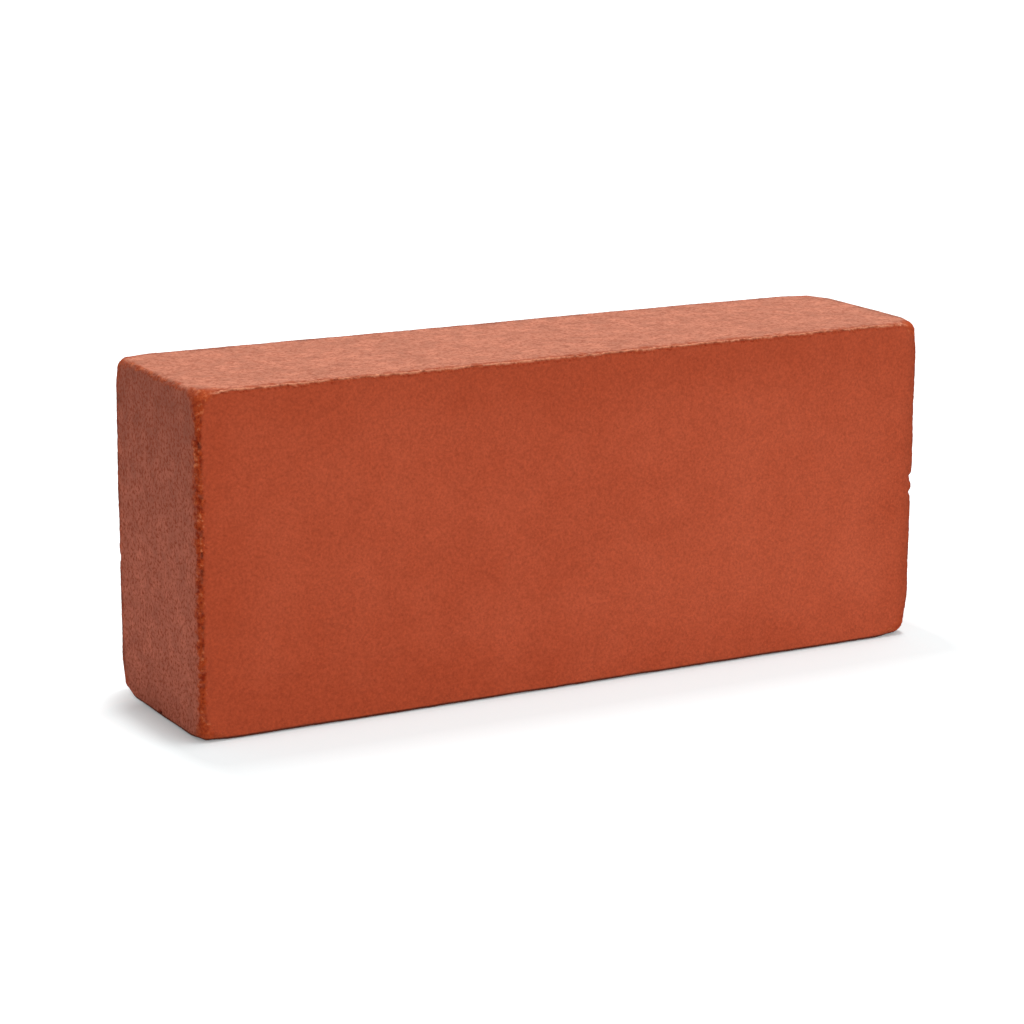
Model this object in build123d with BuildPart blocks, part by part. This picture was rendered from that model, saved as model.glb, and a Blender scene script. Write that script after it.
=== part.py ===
from build123d import *

import os
from math import sqrt

# A solid fired-clay brick, standing on one of its long narrow sides.
# Millimetres: +X runs along the length, +Y from the front broad face to the back one, and +Z up.
# The origin is the middle of the underside.

# Driving dimensions
length = 215.0  # from end to end
thickness = 53.0  # between the two broad faces
height = 89.0  # from the side that it stands on to the side on top
arris_radius = 2.0  # the rounding of the twelve edges
corner_radius = 10.0  # the ball that each of the eight knocked corners is worn to
corner_clearance = 0.05  # room that keeps the corner wear off the edges between the corners

# A block with edges of corner_radius clears the brick's own edges, and so reaches its corners alone,
# where each of its faces stands this far outside the brick's.
wear_offset = (1 - 1 / sqrt(2)) * (corner_radius - arris_radius) + corner_clearance


# The outer limit that the corners are worn back to
with BuildPart() as corner_wear:
    with BuildSketch(Plane.XY.offset(-wear_offset)):
        Rectangle(length + 2 * wear_offset, thickness + 2 * wear_offset)
    extrude(amount=height + 2 * wear_offset)
    fillet(corner_wear.edges(), corner_radius)

# The brick, fired as one piece
with BuildPart() as brick:
    with BuildSketch(Plane.XY):
        Rectangle(length, thickness)
    extrude(amount=height)
    fillet(brick.edges(), arris_radius)
    add(corner_wear.part, mode=Mode.INTERSECT)

brick.part.label = "brick"
os.makedirs("parts", exist_ok=True)
export_step(brick.part, "parts/brick.step")
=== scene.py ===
"""A solid fired-clay brick, worn along its arrises, on a plain white studio floor."""

from math import cos, radians, sin
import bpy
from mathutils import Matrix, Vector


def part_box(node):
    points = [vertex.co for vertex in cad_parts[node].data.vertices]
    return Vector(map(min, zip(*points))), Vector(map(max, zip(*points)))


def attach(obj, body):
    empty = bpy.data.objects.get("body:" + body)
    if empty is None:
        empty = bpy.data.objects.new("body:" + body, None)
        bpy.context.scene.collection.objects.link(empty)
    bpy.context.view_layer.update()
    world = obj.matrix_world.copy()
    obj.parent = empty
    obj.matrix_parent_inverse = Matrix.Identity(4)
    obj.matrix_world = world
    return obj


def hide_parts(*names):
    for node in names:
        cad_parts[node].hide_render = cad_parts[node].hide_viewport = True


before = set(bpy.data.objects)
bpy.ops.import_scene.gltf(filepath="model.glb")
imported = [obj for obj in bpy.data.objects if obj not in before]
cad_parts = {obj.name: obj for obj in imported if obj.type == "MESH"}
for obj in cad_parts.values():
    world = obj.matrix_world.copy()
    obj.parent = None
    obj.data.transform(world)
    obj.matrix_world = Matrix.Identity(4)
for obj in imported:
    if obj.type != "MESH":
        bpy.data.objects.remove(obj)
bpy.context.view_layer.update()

from types import SimpleNamespace

import bmesh
import bpy
from bpy.props import FloatProperty, FloatVectorProperty, PointerProperty
from bpy.types import Operator, Panel, PropertyGroup
from mathutils import Matrix, Vector

bl_info = {
    "name": "Clay Brick",
    "version": (1, 0, 0),
    "blender": (4, 5, 0),
    "location": "View3D > Sidebar > Brick",
    "description": "Makes a worn fired-clay brick and the studio that it stands in",
    "category": "Object",
}

# The brick's place, from the frame, in metres
BRICK_LOW, BRICK_HIGH = (Vector(corner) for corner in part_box("brick"))
BRICK_SIZE = BRICK_HIGH - BRICK_LOW

MM = 0.001
IMAGE_SIDE = 1024  # pixels, the side of the square picture
FOCAL_PIXELS = 3081.9  # pixels, the focal length measured in that picture
SENSOR_WIDTH = 36.0  # millimetres

# The mesh that is worn: the side of its cells, and how near an edge they are halved, time after time
CELL = 2.6 * MM
FINE_REACHES = (4.6 * MM, 3.3 * MM, 2.3 * MM)

# Kinds of nodes
MATH = "ShaderNodeMath"
VECTOR = "ShaderNodeVectorMath"
RANGE = "ShaderNodeMapRange"
NOISE = "ShaderNodeTexNoise"
CELLS = "ShaderNodeTexVoronoi"
MIX = "ShaderNodeMix"
SPLIT = "ShaderNodeSeparateXYZ"

# The radii in millimetres that the arrises are worn to, four each way:
# along from front to back, low then high; across from left to right, low then high;
# and upright from left to right, front then back
ARRIS_RADII = {
    "Along": (1.2, 1.0, 0.8, 0.9),
    "Across": (0.7, 1.0, 1.5, 0.5),
    "Upright": (1.6, 1.6, 1.3, 1.6),
}

# How far the same arrises have crumbled, as shares of the worst
ARRIS_WEAR = {
    "Along": (0.2, 0.3, 0.5, 0.35),
    "Across": (0.25, 0.3, 0.75, 0.4),
    "Upright": (1.0, 0.35, 0.35, 0.35),
}

# What the sides that a point is on, each 0 or 1, weigh in the number of its arris in these tables
ARRIS_WEIGHTS = {
    "Along": (0, 1, 2),
    "Across": (1, 0, 2),
    "Upright": (1, 2, 0),
}

# The radii in millimetres of the eight knocked corners: left then right, front then back, low then high
CORNER_RADII = (2.8, 3.8, 3.4, 4.5, 3.1, 2.9, 2.9, 3.7)
CORNER_WEIGHTS = (1, 2, 4)
CORNER_CORE = 0.6  # how far from a corner its radius holds, as a share of it
CORNER_SPREAD = 3.0  # how far from a corner its radius has faded to the arris's, as a share of it

# Chips knocked out of the arrises: the place of each, and its radius, in millimetres
CHIPS = (
    ((106.9, -25.9, 44.9), 2.1),
    ((106.9, -25.9, 40.4), 1.8),
    ((-107.3, -25.9, 75.6), 1.6),
    ((-107.0, -26.3, 43.9), 1.7),
    ((-107.3, 0.6, 1.0), 1.5),
    ((-108.5, 27.8, 36.0), 3.5),
)
CHIP_DEPTH = 0.6  # as a share of its radius

# The noises that shape the wear: the size of their features in millimetres, the weight of each axis,
# which draws them out along it where it is under 1, and their detail
WEAR_NOISES = {
    "drift": (9, (1, 1, 1), 1),
    "wander": (5, (1, 1, 1), 2),
    "ragged": (1.6, (1, 0.5, 1), 2),
    "crumb": (1.1, (1, 0.5, 1), 3),
    "broken": (0.9, (0.4, 1, 1), 3),
    "sway": (55, (1, 1, 1), 1),
}

# The crumbled band along an edge: where it starts to fade and where it ends, as shares of the edge's radius
BAND_START = 0.6
BAND_END = 1.3
RAGGED_REACH = 0.9  # millimetres that its border wanders each way

# Crumbs and pits, in millimetres: how far apart they are, and how their places are shaken
CRUMB_SPACING = 1.3
PIT_SPACING = 1.8
SHAKE_SPACING = 1.3
SHAKE_REACH = 2.2

# The lip along the top arrises and its creases: how far down from the arris each lies, or back from it where
# that is under 0, and its half width, in millimetres
LIP_STRANDS = {
    "lip": (0.1, 0.5),
    "behind": (-1.1, 0.6),
    "under": (0.9, 0.5),
}

# The noises that colour the clay: the size of their features in millimetres, and their detail.
# The fine grain is drawn as coarse as it needs to be to show.
CLAY_NOISES = {
    "broad": (60, 1),
    "clouds": (14, 2),
    "mottle": (4.5, 2),
    "patch": (0.9, 3),
    "fine": (0.65, 2),
    "coarse": (0.9, 3),
    "crumbs": (0.5, 3),
}

FLOOR_REACH = 12.0  # metres each way, which reaches the horizon

# The floor's own glow: how far from the brick it starts to rise and is whole, and how many times it rises
GLOW_START = 12 * MM
GLOW_END = 45 * MM
GLOW_RISE = 3.3


def linear(code):
    """The linear colour of an sRGB hex code such as "A9472A"."""
    shares = [int(code[i:i + 2], 16) / 255 for i in (0, 2, 4)]
    return tuple(s / 12.92 if s <= 0.04045 else ((s + 0.055) / 1.055) ** 2.4 for s in shares)


def per_metre(millimetres):
    """The scale of a pattern whose features are that far apart."""
    return 1 / (millimetres * MM)


def add(tree, kind, *ordered, inputs=None, **settings):
    """Adds a node with its settings. Its inputs, in order or by name, are values, sockets or nodes."""
    node = tree.nodes.new(kind)
    for name, value in settings.items():
        setattr(node, name, value)
    shown = [socket for socket in node.inputs if socket.enabled]
    pairs = list(zip(shown, ordered))
    for name, value in (inputs or {}).items():
        pairs.append((next(socket for socket in shown if socket.name == name), value))
    for socket, value in pairs:
        if isinstance(value, bpy.types.Node):
            value = next(output for output in value.outputs if output.enabled)
        if isinstance(value, bpy.types.NodeSocket):
            tree.links.new(value, socket)
        else:
            socket.default_value = value
    return node


class BrickShape(PropertyGroup):
    """The brick's size and wear."""

    size: FloatVectorProperty(
        name="Size", description="Length, thickness and height of the brick",
        default=BRICK_SIZE, unit="LENGTH", subtype="XYZ", precision=4)
    skin_depth: FloatProperty(
        name="Skin depth", description="How far the faces lie under their highest crumbs",
        default=0.2 * MM, unit="LENGTH", precision=5)
    along_radii: FloatVectorProperty(
        name="Along radii", description="Rounding of the arrises along the length", size=4,
        default=[radius * MM for radius in ARRIS_RADII["Along"]], unit="LENGTH", precision=5)
    across_radii: FloatVectorProperty(
        name="Across radii", description="Rounding of the arrises across the ends", size=4,
        default=[radius * MM for radius in ARRIS_RADII["Across"]], unit="LENGTH", precision=5)
    upright_radii: FloatVectorProperty(
        name="Upright radii", description="Rounding of the upright arrises", size=4,
        default=[radius * MM for radius in ARRIS_RADII["Upright"]], unit="LENGTH", precision=5)
    along_wear: FloatVectorProperty(
        name="Along wear", description="Crumbling of the arrises along the length", size=4,
        default=ARRIS_WEAR["Along"], min=0, max=1)
    across_wear: FloatVectorProperty(
        name="Across wear", description="Crumbling of the arrises across the ends", size=4,
        default=ARRIS_WEAR["Across"], min=0, max=1)
    upright_wear: FloatVectorProperty(
        name="Upright wear", description="Crumbling of the upright arrises", size=4,
        default=ARRIS_WEAR["Upright"], min=0, max=1)
    corner_radii: FloatVectorProperty(
        name="Corner radii", description="Rounding of the eight corners", size=8,
        default=[radius * MM for radius in CORNER_RADII], unit="LENGTH", precision=5)
    crumble_share: FloatProperty(
        name="Crumble share", description="Height of the crumbs along an arris, as a share of its radius",
        default=0.45, subtype="FACTOR", min=0, max=1)
    pit_depth: FloatProperty(
        name="Pit depth", description="Depth of the small pits along the arrises",
        default=0.5 * MM, unit="LENGTH", precision=5)
    lip_height: FloatProperty(
        name="Lip height", description="Height of the broken lip along the top arrises",
        default=0.3 * MM, unit="LENGTH", precision=5)
    sway_depth: FloatProperty(
        name="Sway depth", description="How far the faces wander from flat",
        default=0.15 * MM, unit="LENGTH", precision=5)
    seed: FloatProperty(name="Seed", description="Picks another brick from the same press", default=4.0)


class BrickFinish(PropertyGroup):
    """The brick's colours and surface."""

    deep: FloatVectorProperty(
        name="Deep", description="Colour where the clay fired darker",
        default=linear("A04226"), subtype="COLOR")
    pale: FloatVectorProperty(
        name="Pale", description="Colour where the clay fired paler",
        default=linear("AF4F33"), subtype="COLOR")
    # The side and end colours hold dust and a painted sheen, the pale pink cast that glancing light gives the
    # cut faces
    side: FloatVectorProperty(
        name="Side", description="Colour of the dusty narrow sides",
        default=linear("C47D64"), subtype="COLOR")
    end: FloatVectorProperty(
        name="End", description="Colour of the dusty ends",
        default=linear("B5644E"), subtype="COLOR")
    fleck: FloatVectorProperty(
        name="Fleck", description="Colour of the bare flecks in the dust",
        default=linear("8A3A22"), subtype="COLOR")
    arris: FloatVectorProperty(
        name="Arris", description="Colour of the crumbled arrises",
        default=linear("AB421B"), subtype="COLOR")
    # Painted highlight: the nub colour lights the crumbs that stand proud
    nub: FloatVectorProperty(
        name="Nub", description="Colour of the crumbs that stand proud",
        default=linear("CE7048"), subtype="COLOR")
    # Painted shade: the pit colour darkens pits, chips, hollows and creases, and under the lip
    pit: FloatVectorProperty(
        name="Pit", description="Colour inside pits, hollows and creases",
        default=linear("852406"), subtype="COLOR")
    # The lip colour is partly a painted highlight, where the lip catches the light from above
    lip: FloatVectorProperty(
        name="Lip", description="Colour of the broken lip",
        default=linear("E29674"), subtype="COLOR")
    roughness: FloatProperty(
        name="Roughness", description="Roughness of the unglazed clay",
        default=0.85, subtype="FACTOR", min=0, max=1)


class StudioSetup(PropertyGroup):
    """The camera, the lights and the floor."""

    azimuth: FloatProperty(
        name="Azimuth", description="Turn of the view about the upright axis",
        default=radians(-29.18), subtype="ANGLE")
    elevation: FloatProperty(
        name="Elevation", description="Height of the view above the horizon",
        default=radians(13.61), subtype="ANGLE")
    roll: FloatProperty(
        name="Roll", description="Turn of the picture",
        default=radians(0.38), subtype="ANGLE")
    distance: FloatProperty(
        name="Distance", description="From the camera to the brick's middle",
        default=824.7 * MM, unit="LENGTH")
    aim: FloatVectorProperty(
        name="Aim", description="The brick's middle, right of and above the picture's middle", size=2,
        default=(4.63 * MM, 2.87 * MM), unit="LENGTH")
    lens: FloatProperty(
        name="Lens", description="Focal length in millimetres",
        default=FOCAL_PIXELS * SENSOR_WIDTH / IMAGE_SIDE, unit="CAMERA")
    front_way: FloatVectorProperty(
        name="Front way", description="Where the soft box stands, from the brick's middle",
        default=(0.5, -0.66, 0.17), unit="LENGTH", subtype="XYZ")
    front_size: FloatProperty(
        name="Front size", description="Side of the soft box",
        default=0.7, unit="LENGTH")
    front_power: FloatProperty(
        name="Front power", description="Power of the soft box",
        default=1.8, unit="POWER")
    top_way: FloatVectorProperty(
        name="Top way", description="Where the high sun stands, from the brick's middle",
        default=(0.065, -0.01, 1.0), unit="LENGTH", subtype="XYZ")
    top_spread: FloatProperty(
        name="Top spread", description="Width of the high sun",
        default=radians(8), subtype="ANGLE")
    top_power: FloatProperty(name="Top power", description="Strength of the high sun", default=1.6)
    sky_level: FloatProperty(name="Sky level", description="Light of the tent overhead", default=0.66)
    sky_lean: FloatVectorProperty(
        name="Sky lean", description="How much brighter the tent is to the right, behind and above",
        default=(0.5, -0.45, 0.0), subtype="XYZ")
    board: FloatVectorProperty(
        name="Board", description="Colour of the floor as it throws light on the brick",
        default=linear("E7E7E7"), subtype="COLOR")
    seen_board: FloatVectorProperty(
        name="Seen board", description="Colour of the floor as it is seen",
        default=linear("CFD5D6"), subtype="COLOR")
    floor_glow: FloatProperty(
        name="Floor glow", description="Whiteness seen in the floor besides its light", default=0.18)


def block_shell(size, cell):
    """A closed block of square cells that stands on the floor, as a bmesh."""
    counts = [round(side / cell) for side in size]
    steps = [side / count for side, count in zip(size, counts)]
    bm = bmesh.new()
    known = {}

    def corner(place):
        if place not in known:
            x, y, z = (p * step for p, step in zip(place, steps))
            known[place] = bm.verts.new((x - size.x / 2, y - size.y / 2, z))
        return known[place]

    for axis in range(3):
        u, v = (axis + 1) % 3, (axis + 2) % 3
        for level in (0, counts[axis]):
            for i in range(counts[u]):
                for j in range(counts[v]):
                    ring = []
                    for di, dj in ((0, 0), (1, 0), (1, 1), (0, 1)):
                        place = [0, 0, 0]
                        place[axis], place[u], place[v] = level, i + di, j + dj
                        ring.append(corner(tuple(place)))
                    bm.faces.new(ring if level else ring[::-1])
    return bm


def refine_edges(bm, size, reaches):
    """Halves the cells whose middle lies within each reach of an edge of the block."""
    for reach in reaches:
        edges = set()
        for face in bm.faces:
            x, y, z = face.calc_center_median()
            gaps = sorted((size.x / 2 - abs(x), size.y / 2 - abs(y), min(z, size.z - z)))
            if gaps[1] < reach:
                edges.update(face.edges)
        bmesh.ops.subdivide_edges(bm, edges=list(edges), cuts=1, use_grid_fill=True, use_single_edge=True)


def add_wear_inputs(tree):
    """Adds the tree's named inputs and its output, and returns the inputs."""
    names = ["Crumble Share", "Pit Depth", "Lip Height", "Sway Depth", "Seed"]
    for table in ("Radius", "Wear"):
        names += [f"{way} {table} {number}" for way in ARRIS_WEIGHTS for number in range(4)]
    names += [f"Corner {number}" for number in range(len(CORNER_RADII))]
    tree.interface.new_socket("Geometry", in_out="INPUT", socket_type="NodeSocketGeometry")
    tree.interface.new_socket("Size", in_out="INPUT", socket_type="NodeSocketVector")
    for name in names:
        tree.interface.new_socket(name, in_out="INPUT", socket_type="NodeSocketFloat")
    tree.interface.new_socket("Geometry", in_out="OUTPUT", socket_type="NodeSocketGeometry")
    return add(tree, "NodeGroupInput").outputs


def measure_block(tree, size):
    """Adds what says where a point lies: its offset from the block's middle, its sides and its gaps."""
    place = add(tree, "GeometryNodeInputPosition")
    half = add(tree, VECTOR, size, 0.5, operation="SCALE")
    middle = add(tree, VECTOR, half, (0, 0, 1), operation="MULTIPLY")
    offset = add(tree, VECTOR, place, middle, operation="SUBTRACT")
    side = add(tree, VECTOR, offset, operation="SIGN")
    apart = add(tree, VECTOR, offset, operation="ABSOLUTE")
    gap = add(tree, VECTOR, half, apart, operation="SUBTRACT")
    return SimpleNamespace(
        place=place,
        half=half,
        middle=middle,
        offset=offset,
        side=side,
        upper=add(tree, VECTOR, side, (0, 0, 0), operation="MAXIMUM"),
        gap=gap,
        gaps=add(tree, SPLIT, gap).outputs,
        corner_gap=add(tree, VECTOR, gap, operation="LENGTH").outputs["Value"],
    )


def wear_noises(tree, place, seed):
    """Adds the noises that shape the wear, each spread over 0 to 1."""
    noises = {}
    for name, (size, weights, detail) in WEAR_NOISES.items():
        drawn = add(tree, VECTOR, place, weights, operation="MULTIPLY")
        noise = add(tree, NOISE, drawn, seed, per_metre(size), detail, 0.6, noise_dimensions="4D")
        noises[name] = add(tree, RANGE, noise, 0.3, 0.7)
    return noises


def choose(tree, sides, weights, choices):
    """Adds a switch that picks by the sides that a point is on, each 0 or 1, weighed to a number."""
    number = add(tree, VECTOR, sides, weights, operation="DOT_PRODUCT").outputs["Value"]
    switch = add(tree, "GeometryNodeIndexSwitch", data_type="FLOAT")
    while len(switch.index_switch_items) < len(choices):
        switch.index_switch_items.new()
    for socket, value in zip(switch.inputs, [number] + choices):
        tree.links.new(value, socket)
    return switch


def nearest_arris(tree, given, point, table):
    """Adds what a table of the arrises says of the nearest one, blended where arrises meet."""
    picks = []
    for way, weights in ARRIS_WEIGHTS.items():
        values = [given[f"{way} {table} {number}"] for number in range(4)]
        picks.append(choose(tree, point.upper, weights, values))
    picks = add(tree, "ShaderNodeCombineXYZ", *picks)
    square = add(tree, VECTOR, point.gap, point.gap, operation="MULTIPLY")
    whole = add(tree, VECTOR, square, (1, 1, 1), operation="DOT_PRODUCT").outputs["Value"]
    whole = add(tree, MATH, whole, 1e-12)
    blend = add(tree, VECTOR, square, picks, operation="DOT_PRODUCT").outputs["Value"]
    return add(tree, MATH, blend, whole, operation="DIVIDE")


def edge_radii(tree, given, point, noises):
    """Adds the radii there: of the arris, varied along it, of the corner, and of the edge between the two."""
    drift = add(tree, RANGE, noises["drift"], 0.0, 1.0, 0.8, 1.2)
    arris = nearest_arris(tree, given, point, "Radius")
    arris = add(tree, MATH, arris, drift, operation="MULTIPLY")
    corners = [given[f"Corner {number}"] for number in range(len(CORNER_RADII))]
    corner = choose(tree, point.upper, CORNER_WEIGHTS, corners)
    core = add(tree, MATH, corner, CORNER_CORE, operation="MULTIPLY")
    spread = add(tree, MATH, corner, CORNER_SPREAD, operation="MULTIPLY")
    edge = add(tree, RANGE, point.corner_gap, core, spread, corner, arris, interpolation_type="SMOOTHSTEP")
    return SimpleNamespace(arris=arris, corner=corner, spread=spread, edge=edge)


def rounded_block(tree, point, radius):
    """Adds each point's place on the block with its edges rounded by that radius, and the way it faces."""
    limit = add(tree, VECTOR, point.half, radius, operation="SUBTRACT")
    lower = add(tree, VECTOR, limit, -1.0, operation="SCALE")
    core = add(tree, VECTOR, point.offset, limit, operation="MINIMUM")
    core = add(tree, VECTOR, core, lower, operation="MAXIMUM")
    outward = add(tree, VECTOR, point.offset, core, operation="SUBTRACT")
    outward = add(tree, VECTOR, outward, operation="NORMALIZE")
    ball = add(tree, VECTOR, outward, radius, operation="SCALE")
    rounded = add(tree, VECTOR, core, ball)
    rounded = add(tree, VECTOR, rounded, point.middle)
    return rounded, outward


def crumbled_band(tree, given, point, noises, radii):
    """Adds how far a point has crumbled, from 0 to 1, in a band with a ragged border along each edge."""
    # The gap to the nearest arris, which counts for less across the thickness,
    # so that the wear reaches further onto the ends and the top
    weighed = add(tree, VECTOR, point.gap, (1.1, 0.5, 1.0), operation="MULTIPLY")
    edge_gap = add(tree, VECTOR, weighed, (1, 1, 1), operation="DOT_PRODUCT").outputs["Value"]
    weighed = add(tree, SPLIT, weighed).outputs
    widest = add(tree, MATH, weighed["X"], weighed["Y"], operation="MAXIMUM")
    widest = add(tree, MATH, widest, weighed["Z"], operation="MAXIMUM")
    edge_gap = add(tree, MATH, edge_gap, widest, operation="SUBTRACT")
    ragged = add(tree, RANGE, noises["ragged"], 0.0, 1.0, -RAGGED_REACH * MM, RAGGED_REACH * MM)
    edge_gap = add(tree, MATH, edge_gap, ragged)

    # The band holds the arris's own share of crumbling, and is wholly crumbled at the corners
    knocked = add(tree, RANGE, point.corner_gap, radii.corner, radii.spread, 1.0, 0.0)
    most = nearest_arris(tree, given, point, "Wear")
    most = add(tree, MATH, most, knocked, operation="MAXIMUM")
    start = add(tree, MATH, radii.edge, BAND_START, operation="MULTIPLY")
    end = add(tree, MATH, radii.edge, BAND_END, operation="MULTIPLY")
    return add(tree, RANGE, edge_gap, start, end, most, 0.0, interpolation_type="SMOOTHSTEP")


def shaken_place(tree, place, seed):
    """Adds a point's place, shaken so that crumbs, pits and chips aren't round."""
    noise = add(tree, NOISE, place, seed, per_metre(SHAKE_SPACING), 2, 0.6, noise_dimensions="4D")
    shake = add(tree, VECTOR, noise.outputs["Color"], (0.5, 0.5, 0.5), operation="SUBTRACT")
    shake = add(tree, VECTOR, shake, SHAKE_REACH * MM, operation="SCALE")
    return add(tree, VECTOR, place, shake)


def add_crumbs(tree, place, noise):
    """Adds crumbs of mixed heights, from 0 to 1."""
    cells = add(tree, CELLS, place, per_metre(CRUMB_SPACING)).outputs
    chance = add(tree, SPLIT, cells["Color"]).outputs["X"]
    proud = add(tree, RANGE, chance, 0.0, 1.0, 0.3, 1.0)
    crumb = add(tree, RANGE, cells["Distance"], 0.1, 0.65, 1.0, 0.0)
    crumb = add(tree, MATH, crumb, proud, operation="MULTIPLY")
    return add(tree, MIX, 0.45, crumb, noise, data_type="FLOAT")


def crumb_relief(tree, share, point, radii, crumb):
    """Adds how far crumbs stand out, a share of the arris's radius, and calmer at the corners."""
    calm = add(tree, RANGE, point.corner_gap, radii.corner, radii.spread, 0.35, 1.0)
    thick = add(tree, MATH, radii.arris, calm, operation="MULTIPLY")
    relief = add(tree, MATH, crumb, 0.5, operation="SUBTRACT")
    for factor in (thick, share):
        relief = add(tree, MATH, relief, factor, operation="MULTIPLY")
    return relief


def add_pits(tree, place, gap, wear):
    """Adds pits in some places between the crumbs, from 0 to 1, fainter along the top and the bottom."""
    cells = add(tree, CELLS, place, per_metre(PIT_SPACING)).outputs
    chance = add(tree, SPLIT, cells["Color"]).outputs["X"]
    reach = add(tree, RANGE, chance, 0.4, 1.0, 0.02, 0.5)
    pit = add(tree, RANGE, cells["Distance"], 0.0, reach, 1.0, 0.0, interpolation_type="SMOOTHSTEP")
    faint = add(tree, RANGE, gap, 2 * MM, 6 * MM, 0.05, 1.0)
    for share in (wear, faint):
        pit = add(tree, MATH, pit, share, operation="MULTIPLY")
    return pit


def add_chips(tree, place):
    """Adds the chips at their own places, from 0 to 1, and how deep they go."""
    spots = add(tree, "GeometryNodeJoinGeometry")
    for chip_place, chip_radius in CHIPS:
        spot = add(tree, "GeometryNodePoints", 1, Vector(chip_place) * MM, chip_radius * MM)
        tree.links.new(spot.outputs[0], spots.inputs[0])
    near = {"Geometry": spots, "Sample Position": place}
    gap = add(tree, "GeometryNodeProximity", inputs=near, target_element="POINTS").outputs["Distance"]
    nearest = add(tree, "GeometryNodeSampleNearest", inputs=near)
    radius = add(tree, "GeometryNodeInputRadius")
    radius = add(tree, "GeometryNodeSampleIndex", spots, radius, nearest)
    chip = add(tree, RANGE, gap, 0.0, radius, 1.0, 0.0, interpolation_type="SMOOTHSTEP")
    depth = add(tree, MATH, chip, radius, operation="MULTIPLY")
    depth = add(tree, MATH, depth, CHIP_DEPTH, operation="MULTIPLY")
    return chip, depth


def add_lip(tree, height, point, noises):
    """Adds the lip that the press leaves along the long top arrises, its creases, and how both push out."""
    # It keeps close to the arris, and wanders more towards the corners
    wander = add(tree, MATH, noises["wander"], noises["ragged"])
    wander = add(tree, MATH, wander, 1.0, operation="SUBTRACT")
    reach = add(tree, RANGE, point.gaps["X"], 0.0, 14 * MM, 1.0 * MM, 0.6 * MM)
    down = add(tree, MATH, point.gaps["Z"], point.gaps["Y"], operation="SUBTRACT")
    down = add(tree, MATH, wander, reach, down, operation="MULTIPLY_ADD")

    # It is broken into lengths, fainter at the back, and ends before the corners
    broken = add(tree, RANGE, noises["broken"], 0.2, 0.55)
    cracked = add(tree, RANGE, noises["crumb"], 0.35, 0.6)
    high = add(tree, SPLIT, point.upper).outputs["Z"]
    back = add(tree, SPLIT, point.offset).outputs["Y"]
    plain = add(tree, RANGE, back, -0.5 * BRICK_SIZE.y, 0.5 * BRICK_SIZE.y, 1.0, 0.35)
    close = add(tree, MATH, point.gaps["Y"], point.gaps["Z"])
    close = add(tree, RANGE, close, 3 * MM, 4 * MM, 1.0, 0.0)
    inner = add(tree, RANGE, point.gaps["X"], 3 * MM, 6 * MM)
    for share in (high, plain, close, inner):
        broken = add(tree, MATH, broken, share, operation="MULTIPLY")
        cracked = add(tree, MATH, cracked, share, operation="MULTIPLY")

    # The lip between its two creases
    strands = {}
    for name, (line, width) in LIP_STRANDS.items():
        strand = add(tree, MATH, down, line * MM, operation="SUBTRACT")
        strand = add(tree, MATH, strand, operation="ABSOLUTE")
        strand = add(tree, RANGE, strand, 0.0, width * MM, 1.0, 0.0, interpolation_type="SMOOTHSTEP")
        shown = broken if name == "lip" else cracked
        strands[name] = add(tree, MATH, strand, shown, operation="MULTIPLY")
    lip = strands["lip"]
    crease = add(tree, MATH, strands["behind"], strands["under"], operation="MAXIMUM")
    push = add(tree, MATH, crease, -0.6, lip, operation="MULTIPLY_ADD")
    push = add(tree, MATH, push, height, operation="MULTIPLY")
    way = add(tree, VECTOR, point.side, (0, 1, 0.6), operation="MULTIPLY")
    push = add(tree, VECTOR, way, push, operation="SCALE")
    return lip, crease, push


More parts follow.
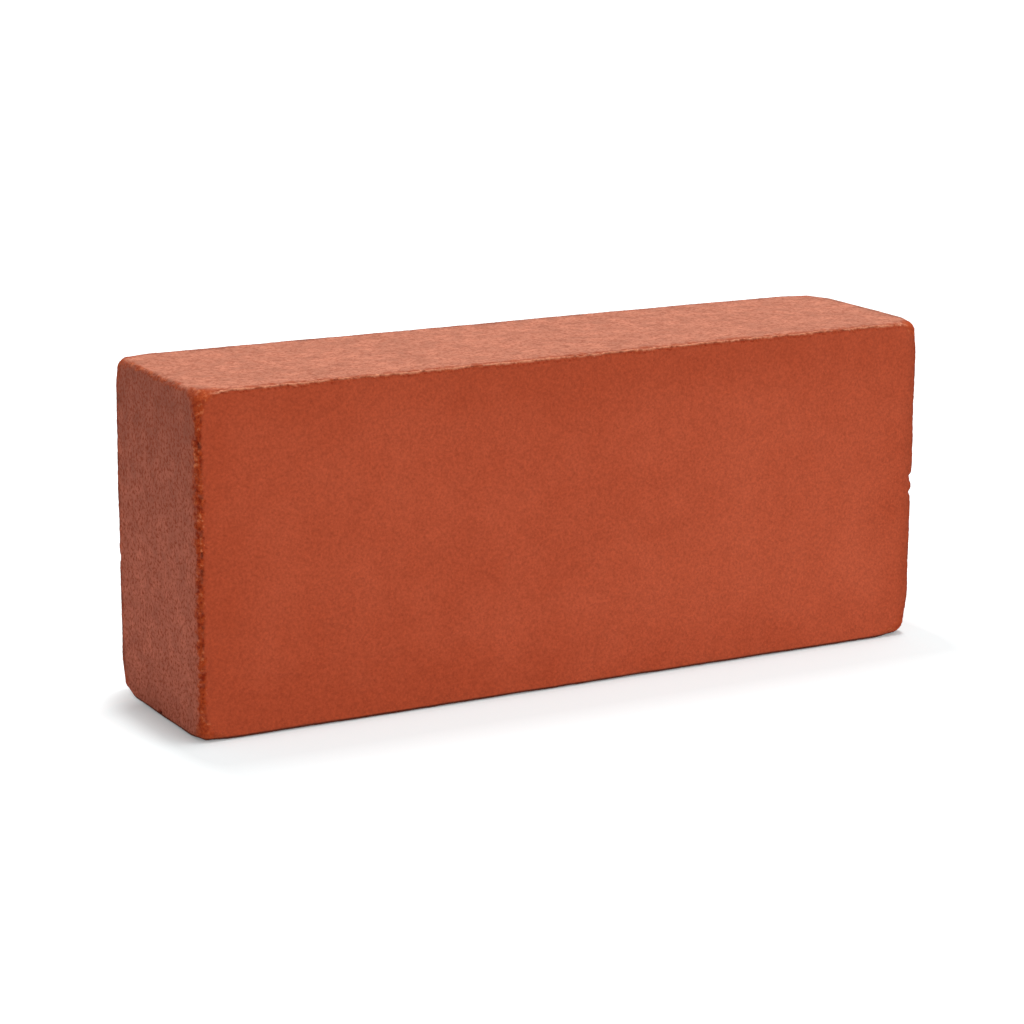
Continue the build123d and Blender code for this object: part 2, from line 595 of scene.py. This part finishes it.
def worn_brick_tree(material):
    """The tree that wears a sharp block: round arrises, knocked corners, crumbs, pits, chips and a lip."""
    tree = bpy.data.node_groups.new("worn_brick", "GeometryNodeTree")
    given = add_wear_inputs(tree)
    seed = given["Seed"]
    point = measure_block(tree, given["Size"])
    noises = wear_noises(tree, point.place, seed)
    radii = edge_radii(tree, given, point, noises)
    rounded, outward = rounded_block(tree, point, radii.edge)

    # The crumbs and pits of the worn edges, drawn out across the thickness
    wear = crumbled_band(tree, given, point, noises, radii)
    shaken = shaken_place(tree, point.place, seed)
    shift = add(tree, VECTOR, (1, 1, 1), seed, operation="SCALE")
    drawn = add(tree, VECTOR, shaken, (1, 0.6, 1), shift, operation="MULTIPLY_ADD")
    crumb = add_crumbs(tree, drawn, noises["crumb"])
    pit = add_pits(tree, drawn, point.gaps["Z"], wear)
    chip, chip_depth = add_chips(tree, shaken)
    lip, crease, push = add_lip(tree, given["Lip Height"], point, noises)

    # How far each point stands out, and the slow wandering of the faces, inwards only
    relief = crumb_relief(tree, given["Crumble Share"], point, radii, crumb)
    relief = add(tree, MATH, relief, wear, operation="MULTIPLY")
    pit_depth = add(tree, MATH, pit, given["Pit Depth"], operation="MULTIPLY")
    for depth in (pit_depth, chip_depth):
        relief = add(tree, MATH, relief, depth, operation="SUBTRACT")
    sway = add(tree, MATH, noises["sway"], 1.0, operation="SUBTRACT")
    sway = add(tree, MATH, sway, given["Sway Depth"], operation="MULTIPLY")
    relief = add(tree, MATH, relief, sway)
    relief = add(tree, VECTOR, outward, relief, operation="SCALE")
    shaped = add(tree, VECTOR, rounded, relief)
    shaped = add(tree, VECTOR, shaped, push)
    solid = add(tree, "GeometryNodeSetPosition", given["Geometry"], inputs={"Position": shaped})

    # What the material reads
    for name, kind, value in (
        ("wear", "FLOAT", wear),
        ("crumb", "FLOAT", crumb),
        ("pit", "FLOAT", add(tree, MATH, pit, chip, operation="MAXIMUM")),
        ("lip", "FLOAT", lip),
        ("crease", "FLOAT", crease),
        ("facing", "FLOAT_VECTOR", add(tree, VECTOR, outward, outward, operation="MULTIPLY")),
    ):
        solid = add(tree, "GeometryNodeStoreNamedAttribute", data_type=kind, domain="POINT",
                    inputs={"Geometry": solid, "Name": name, "Value": value})
    solid = add(tree, "GeometryNodeSetShadeSmooth", solid)
    solid = add(tree, "GeometryNodeRealizeInstances", solid)
    solid = add(tree, "GeometryNodeSetMaterial", solid, inputs={"Material": material})
    add(tree, "NodeGroupOutput", solid)
    return tree


def read_surface(tree):
    """Adds what the clay's colour depends on: where a spot lies, how it faces, its wear and its noises."""
    place = add(tree, "ShaderNodeTexCoord").outputs["Object"]
    half = BRICK_SIZE / 2
    offset = add(tree, VECTOR, place, (0, 0, half.z), operation="SUBTRACT")
    apart = add(tree, VECTOR, offset, operation="ABSOLUTE")
    gaps = add(tree, VECTOR, half, apart, operation="SUBTRACT")
    rims = add(tree, VECTOR, half, offset, operation="SUBTRACT")
    facing = add(tree, "ShaderNodeAttribute", attribute_name="facing").outputs["Vector"]
    facing = add(tree, SPLIT, facing).outputs
    worn = {}
    for name in ("wear", "crumb", "pit", "lip", "crease"):
        worn[name] = add(tree, "ShaderNodeAttribute", attribute_name=name).outputs["Fac"]
    noises = {}
    for name, (size, detail) in CLAY_NOISES.items():
        noises[name] = add(tree, NOISE, place, per_metre(size), detail, 0.65).outputs["Fac"]
    return SimpleNamespace(
        across=add(tree, SPLIT, offset).outputs["X"],
        height=add(tree, SPLIT, place).outputs["Z"],
        gaps=add(tree, SPLIT, gaps).outputs,  # to the nearer side each way
        rims=add(tree, SPLIT, rims).outputs,  # to the right, the back and the top
        facing=facing,
        cut=add(tree, MATH, facing["X"], facing["Z"], use_clamp=True),
        worn=worn,
        noises=noises,
    )


def pressed_colour(tree, finish, spot):
    """Adds the colour of the pressed broad faces: clouds of paler and deeper firing under a sandy grain,
    deeper towards the edges, with painted shade to the left and where they turn to an arris.
    """
    # Painted shade makes them deeper to the left, away from the soft box, and they are also deeper towards
    # the edges
    clouds = add(tree, MIX, 0.5, spot.noises["broad"], spot.noises["clouds"], data_type="FLOAT")
    clouds = add(tree, RANGE, clouds, 0.33, 0.67, 0.25, 0.85)
    half_length = BRICK_SIZE.x / 2
    across = add(tree, RANGE, spot.across, -half_length, half_length, -0.18, 0.14)
    gap = add(tree, MATH, spot.gaps["X"], spot.gaps["Z"], operation="MINIMUM")
    border = add(tree, RANGE, gap, 0.0, 24 * MM, -0.45, 0.0, interpolation_type="SMOOTHSTEP")
    for share in (across, border):
        clouds = add(tree, MATH, clouds, share)
    colour = add(tree, MIX, clouds, (*finish.deep, 1), (*finish.pale, 1), data_type="RGBA")

    # Painted shade where they turn to an arris, and beside the right one
    grain = add(tree, MATH, spot.noises["fine"], 0.5, operation="SUBTRACT")
    grain = add(tree, MATH, grain, 0.85, 1.0, operation="MULTIPLY_ADD")
    turned_shade = add(tree, RANGE, spot.facing["Y"], 0.86, 1.0, 0.55, 1.0)
    right = add(tree, RANGE, spot.rims["X"], 1.5 * MM, 4.5 * MM, 0.82, 1.0)
    for share in (grain, turned_shade, right):
        colour = add(tree, VECTOR, colour, share, operation="SCALE")
    return colour


def dust_and_sheen_colour(tree, finish, spot):
    """Adds the colour of the cut sides and ends: coarser, pale with dust and a painted sheen, darker in
    places with painted shade, and with flecks of bare clay.
    """
    level = spot.facing["Z"]
    mottle = spot.noises["mottle"]
    dust_and_sheen = add(tree, MIX, level, (*finish.end, 1), (*finish.side, 1), data_type="RGBA")

    # Painted shade: the ends are darker towards their top, where less light comes up off the floor
    shade = add(tree, RANGE, spot.height, 0.45 * BRICK_SIZE.z, 0.95 * BRICK_SIZE.z, 1.0, 0.74)
    shade = add(tree, MIX, level, shade, 1.0, data_type="FLOAT")

    # Painted shade along an uneven rim, at the back of both, and at the right of the sides
    rim_shade = add(tree, MATH, spot.rims["X"], spot.rims["Y"], operation="MINIMUM")
    rim_shade = add(tree, MIX, level, spot.rims["Y"], rim_shade, data_type="FLOAT")
    rim_shade = add(tree, MATH, mottle, 5 * MM, rim_shade, operation="MULTIPLY_ADD")
    darkest = add(tree, RANGE, level, 0.0, 1.0, 0.4, 0.66)
    rim_shade = add(tree, RANGE, rim_shade, 4.0 * MM, 5.6 * MM, darkest, 1.0)
    mottle = add(tree, RANGE, mottle, 0.3, 0.7, 0.83, 1.17)
    for share in (shade, mottle, rim_shade):
        dust_and_sheen = add(tree, VECTOR, dust_and_sheen, share, operation="SCALE")

    strength = add(tree, RANGE, level, 0.0, 1.0, 0.95, 0.55)
    bare = add(tree, RANGE, spot.noises["coarse"], 0.36, 0.54, strength, 0.0)
    return add(tree, MIX, bare, dust_and_sheen, (*finish.fleck, 1), data_type="RGBA")


def crumbled_colour(tree, finish, spot):
    """Adds the colour of bare crumbled clay, with a painted highlight on its proud crumbs and painted shade
    in its hollows.
    """
    # Along the top and the bottom the painted highlight reaches further, and the painted shade in its hollows
    # is less dark
    crumbs = add(tree, MIX, 0.5, spot.worn["crumb"], spot.noises["patch"], data_type="FLOAT")
    deepest = add(tree, RANGE, spot.gaps["Z"], 2 * MM, 6 * MM, 0.6, 1.0)
    hollow = add(tree, RANGE, crumbs, 0.3, 0.42, deepest, 0.0)
    palest = add(tree, RANGE, spot.gaps["Z"], 1 * MM, 3.5 * MM, 0.12, 0.0)
    proud = add(tree, RANGE, crumbs, 0.47, 0.6, palest, 1.0)
    bare = add(tree, MIX, hollow, (*finish.arris, 1), (*finish.pit, 1), data_type="RGBA")
    return add(tree, MIX, proud, bare, (*finish.nub, 1), data_type="RGBA")


def fired_clay(finish):
    """Unglazed fired red clay, pressed smooth: matt, with a fine sandy grain, and crumbly where worn."""
    material = bpy.data.materials.new("fired_red_clay")
    material.use_nodes = True
    tree = material.node_tree
    tree.nodes.clear()
    spot = read_surface(tree)
    worn, noises = spot.worn, spot.noises

    # The faces, then their wear over them, with painted shade in the pits and creases, and a lip that is
    # partly a painted highlight, the creases and the lip speckled
    pressed = pressed_colour(tree, finish, spot)
    colour = add(tree, MIX, spot.cut, pressed, dust_and_sheen_colour(tree, finish, spot), data_type="RGBA")
    speckle = add(tree, RANGE, noises["patch"], 0.4, 0.6, 0.1, 1.0)
    creases = add(tree, MATH, worn["crease"], speckle, operation="MULTIPLY")
    speckle = add(tree, RANGE, noises["patch"], 0.35, 0.55, 0.65, 1.0)
    lips = add(tree, MATH, worn["lip"], speckle, operation="MULTIPLY")
    for share, paint in (
        (worn["wear"], crumbled_colour(tree, finish, spot)),
        # Painted shade in the pits and chips
        (worn["pit"], (*finish.pit, 1)),
        # Painted shade in the creases behind and under the lip
        (creases, (*finish.pit, 1)),
        # The paler lip, partly a painted highlight
        (lips, (*finish.lip, 1)),
    ):
        colour = add(tree, MIX, share, colour, paint, data_type="RGBA")

    # Painted shade along the foot, where it meets the floor
    foot_shade = add(tree, RANGE, spot.height, 0.7 * MM, 1.0 * MM, 0.32, 1.0)
    colour = add(tree, VECTOR, colour, foot_shade, operation="SCALE")

    # Relief too fine for the mesh, in millimetres
    relief = add(tree, MIX, spot.cut, noises["fine"], noises["coarse"], data_type="FLOAT")
    depth = add(tree, RANGE, spot.cut, 0.0, 1.0, 0.05, 0.1)
    relief = add(tree, MATH, relief, depth, operation="MULTIPLY")
    crumbs = add(tree, MATH, noises["crumbs"], worn["wear"], operation="MULTIPLY")
    relief = add(tree, MATH, crumbs, 0.5, relief, operation="MULTIPLY_ADD")
    bump = add(tree, "ShaderNodeBump", inputs={"Height": relief, "Distance": MM, "Strength": 1.0})

    clay = add(tree, "ShaderNodeBsdfPrincipled", inputs={
        "Base Color": colour,
        "Roughness": finish.roughness,
        "IOR": 1.5,
        "Specular IOR Level": 0.12,
        "Normal": bump,
    })
    add(tree, "ShaderNodeOutputMaterial", clay)
    return material


class BRICK_OT_make(Operator):
    """Makes the worn brick in the place of its plain solid"""

    bl_idname = "clay_brick.make"
    bl_label = "Make Brick"

    def execute(self, context):
        shape = context.scene.brick_shape
        material = fired_clay(context.scene.brick_finish)
        skin = shape.skin_depth
        size = Vector(shape.size) - Vector((2 * skin, 2 * skin, skin))
        bm = block_shell(size, CELL)
        refine_edges(bm, size, FINE_REACHES)
        mesh = bpy.data.meshes.new("sharp_block")
        bm.to_mesh(mesh)
        bm.free()
        brick = bpy.data.objects.new("clay_brick", mesh)
        context.scene.collection.objects.link(brick)

        tree = worn_brick_tree(material)
        modifier = brick.modifiers.new("worn_brick", "NODES")
        modifier.node_group = tree
        values = {
            "Size": size,
            "Crumble Share": shape.crumble_share,
            "Pit Depth": shape.pit_depth,
            "Lip Height": shape.lip_height,
            "Sway Depth": shape.sway_depth,
            "Seed": shape.seed,
        }
        for name, table in (
            ("Along Radius", shape.along_radii),
            ("Across Radius", shape.across_radii),
            ("Upright Radius", shape.upright_radii),
            ("Along Wear", shape.along_wear),
            ("Across Wear", shape.across_wear),
            ("Upright Wear", shape.upright_wear),
            ("Corner", shape.corner_radii),
        ):
            values.update({f"{name} {number}": value for number, value in enumerate(table)})
        for item in tree.interface.items_tree:
            if item.in_out == "INPUT" and item.name in values:
                modifier[item.identifier] = values[item.name]
        depsgraph = context.evaluated_depsgraph_get()
        worn = bpy.data.meshes.new_from_object(
            brick.evaluated_get(depsgraph), preserve_all_data_layers=True, depsgraph=depsgraph)
        brick.modifiers.remove(modifier)
        brick.data = worn
        worn.name = "clay_brick"
        bpy.data.meshes.remove(mesh)
        if not worn.polygons:
            raise RuntimeError("the worn brick came out empty")

        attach(brick, "root")
        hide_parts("brick")
        return {"FINISHED"}


def add_seen(tree):
    """Adds a switch that is 1 for what the camera sees, straight or in gloss or glass, and else 0."""
    ray = add(tree, "ShaderNodeLightPath").outputs
    seen = add(tree, MATH, ray["Is Camera Ray"], ray["Is Glossy Ray"], operation="MAXIMUM")
    return add(tree, MATH, seen, ray["Is Transmission Ray"], operation="MAXIMUM")


def white_board(studio):
    """Matt white board that keeps the brick's shadow, and is seen whiter away from the brick."""
    material = bpy.data.materials.new("white_board")
    material.use_nodes = True
    tree = material.node_tree
    tree.nodes.clear()
    seen = add_seen(tree)

    # What is seen is darker, to leave room for the glow, and cooler, against the red light off the brick
    white = add(tree, MIX, seen, (*studio.board, 1), (*studio.seen_board, 1), data_type="RGBA")
    board = add(tree, "ShaderNodeBsdfDiffuse", white)

    # Painted light that fades the brick's shadow with distance: how far it is from the brick's ends, from its
    # front and from a line just behind its middle, weighed by how soon the board is white there
    place = add(tree, "ShaderNodeTexCoord").outputs["Object"]
    place = add(tree, SPLIT, place).outputs
    end, front, rear = BRICK_SIZE.x / 2, -BRICK_SIZE.y / 2, 6 * MM
    beside = add(tree, MATH, place["X"], operation="ABSOLUTE")
    beside = add(tree, RANGE, beside, end, end + 1, 0.0, 2.2)
    before = add(tree, RANGE, place["Y"], front, front - 1, 0.0, 0.7)
    behind = add(tree, RANGE, place["Y"], rear, rear + 1, 0.0, 2.5)
    away = add(tree, "ShaderNodeCombineXYZ", beside, before, behind)
    away = add(tree, VECTOR, away, operation="LENGTH").outputs["Value"]
    level = studio.floor_glow
    glow = add(tree, RANGE, away, GLOW_START, GLOW_END, level, GLOW_RISE * level)
    glow = add(tree, MATH, seen, glow, operation="MULTIPLY")
    glow = add(tree, "ShaderNodeEmission", (1, 1, 1, 1), glow)
    both = add(tree, "ShaderNodeAddShader", board, glow)
    add(tree, "ShaderNodeOutputMaterial", both)
    return material


def white_tent(level, lean):
    """A white tent that lights the brick from all round, brighter the way that it leans."""
    world = bpy.data.worlds.new("white_tent")
    world.use_nodes = True
    tree = world.node_tree
    tree.nodes.clear()
    seen = add_seen(tree)
    way = add(tree, "ShaderNodeTexCoord").outputs["Generated"]
    light = add(tree, VECTOR, way, lean, operation="DOT_PRODUCT").outputs["Value"]
    light = add(tree, MATH, light, level, level, operation="MULTIPLY_ADD")
    light = add(tree, MATH, light, 0.0, operation="MAXIMUM")
    light = add(tree, MIX, seen, light, 1.0, data_type="FLOAT")
    tent = add(tree, "ShaderNodeBackground", (1, 1, 1, 1), light)
    add(tree, "ShaderNodeOutputWorld", tent)
    return world


class BRICK_OT_stage(Operator):
    """Makes the floor, the lights and the camera"""

    bl_idname = "clay_brick.stage"
    bl_label = "Set Stage"

    def execute(self, context):
        scene = context.scene
        studio = scene.brick_studio
        middle = Vector((0, 0, (BRICK_LOW.z + BRICK_HIGH.z - scene.brick_shape.skin_depth) / 2))

        # The floor
        ring = [(x * FLOOR_REACH, y * FLOOR_REACH, 0) for x, y in ((-1, -1), (1, -1), (1, 1), (-1, 1))]
        mesh = bpy.data.meshes.new("studio_floor")
        mesh.from_pydata(ring, [], [(0, 1, 2, 3)])
        mesh.materials.append(white_board(studio))
        floor = bpy.data.objects.new("studio_floor", mesh)
        floor.location.z = BRICK_LOW.z
        scene.collection.objects.link(floor)

        # The tent, a soft box low in front and to the right, and a high soft sun
        scene.world = white_tent(studio.sky_level, studio.sky_lean)
        box = bpy.data.lights.new("front_light", "AREA")
        box.size = studio.front_size
        box.energy = studio.front_power
        sun = bpy.data.lights.new("top_light", "SUN")
        sun.angle = studio.top_spread
        sun.energy = studio.top_power
        for data, way in ((box, studio.front_way), (sun, studio.top_way)):
            light = bpy.data.objects.new(data.name, data)
            light.location = middle + Vector(way)
            light.rotation_euler = (-Vector(way)).to_track_quat("-Z", "Y").to_euler()
            scene.collection.objects.link(light)

        # The camera
        data = bpy.data.cameras.new("camera")
        data.sensor_width = SENSOR_WIDTH
        data.lens = studio.lens
        camera = bpy.data.objects.new("camera", data)
        level = cos(studio.elevation)
        forward = Vector((-sin(studio.azimuth) * level, cos(studio.azimuth) * level, -sin(studio.elevation)))
        right = forward.cross(Vector((0, 0, 1))).normalized()
        up = right.cross(forward)
        turn = Matrix.Rotation(-studio.roll, 3, forward)
        right, up = turn @ right, turn @ up
        camera.matrix_world = Matrix((right, up, -forward)).transposed().to_4x4()
        camera.location = middle - forward * studio.distance - right * studio.aim[0] - up * studio.aim[1]
        scene.collection.objects.link(camera)
        scene.camera = camera

        scene.view_settings.view_transform = "Standard"
        return {"FINISHED"}


class BRICK_PT_panel(Panel):
    """Lists the brick's sizes, colours and operators"""

    bl_label = "Clay Brick"
    bl_space_type = "VIEW_3D"
    bl_region_type = "UI"
    bl_category = "Brick"

    def draw(self, context):
        for group in (context.scene.brick_shape, context.scene.brick_finish, context.scene.brick_studio):
            box = self.layout.box()
            for name in group.__annotations__:
                box.prop(group, name)
        self.layout.operator(BRICK_OT_make.bl_idname)
        self.layout.operator(BRICK_OT_stage.bl_idname)


CLASSES = (BrickShape, BrickFinish, StudioSetup, BRICK_OT_make, BRICK_OT_stage, BRICK_PT_panel)


def register():
    for cls in CLASSES:
        bpy.utils.register_class(cls)
    bpy.types.Scene.brick_shape = PointerProperty(type=BrickShape)
    bpy.types.Scene.brick_finish = PointerProperty(type=BrickFinish)
    bpy.types.Scene.brick_studio = PointerProperty(type=StudioSetup)


def unregister():
    del bpy.types.Scene.brick_studio
    del bpy.types.Scene.brick_finish
    del bpy.types.Scene.brick_shape
    for cls in reversed(CLASSES):
        bpy.utils.unregister_class(cls)


def main():
    register()
    bpy.ops.clay_brick.make()
    bpy.ops.clay_brick.stage()


if __name__ == "__main__":
    main()
